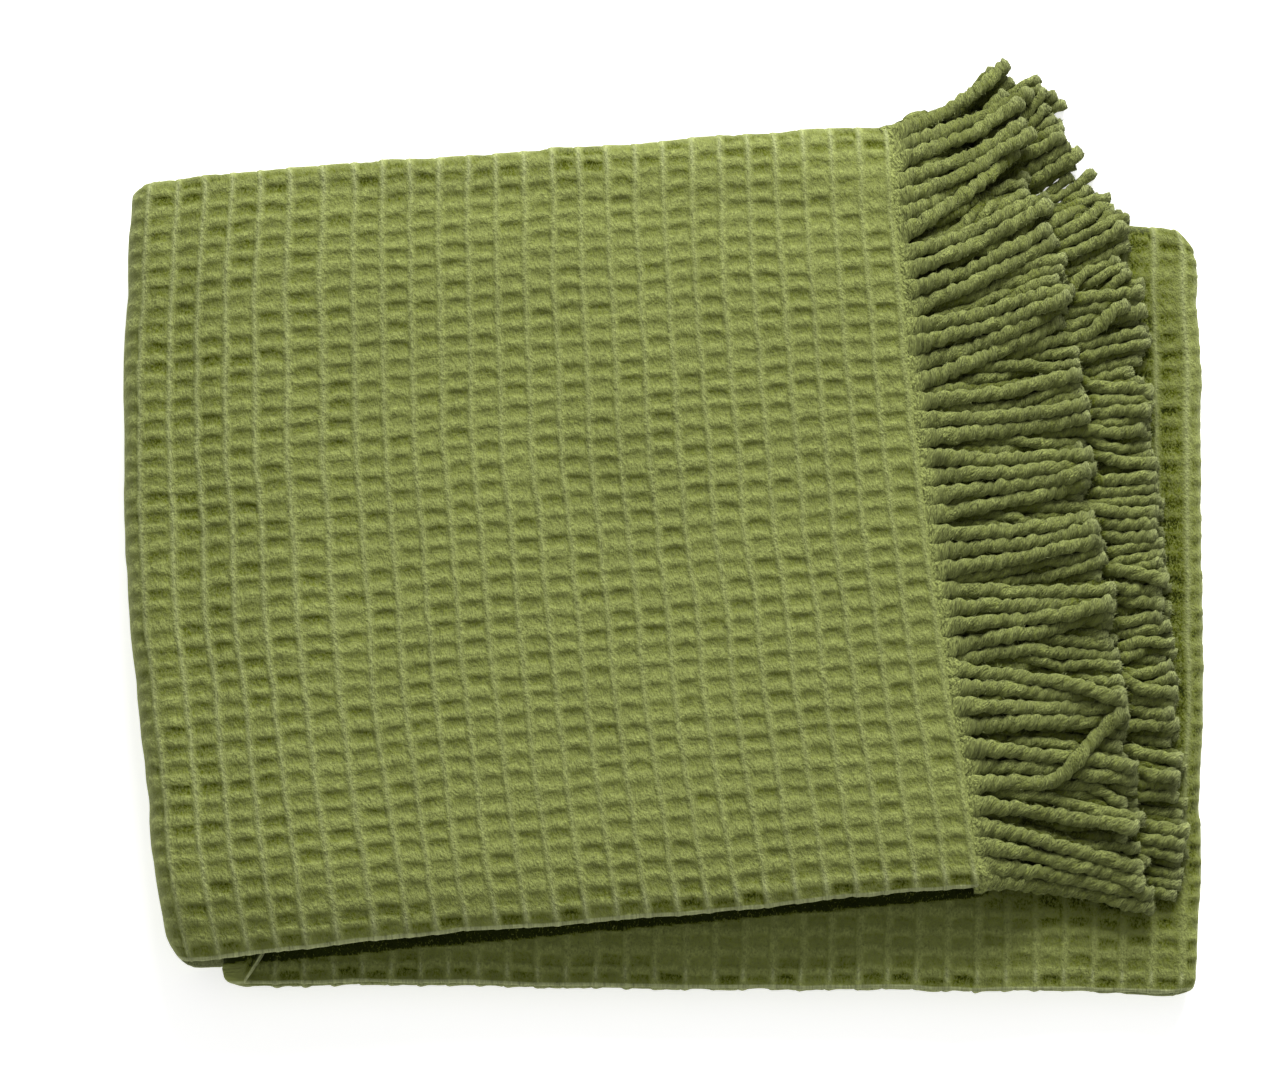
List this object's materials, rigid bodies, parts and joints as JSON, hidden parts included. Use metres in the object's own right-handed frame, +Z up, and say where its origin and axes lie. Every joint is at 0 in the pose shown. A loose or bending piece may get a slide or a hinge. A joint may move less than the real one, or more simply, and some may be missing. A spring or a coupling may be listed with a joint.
{
  "type": "folded waffle weave throw blanket",
  "caption": "Olive green waffle weave cotton throw with twisted fringe at both ends, quartered across its width and folded back and forth into a flat pile.",
  "frame": {"origin": "centre of the folded pile's footprint, at the surface it lies on", "axes": "+X along the throw, towards the fringed ends and the right-hand fold; +Y from the selvedge edge at the front to the folded edge at the back; +Z up"},
  "size_m": [0.4466, 0.3983, 0.0366],
  "materials": {
    "waffle_cotton": "soft brushed waffle weave",
    "twisted_yarn": "two-ply twisted cotton yarn"
  },
  "bodies": {
    "root": {"throw": "waffle_cotton", "fringe_upper": "twisted_yarn", "fringe_lower": "twisted_yarn"}
  },
  "joints": []
}
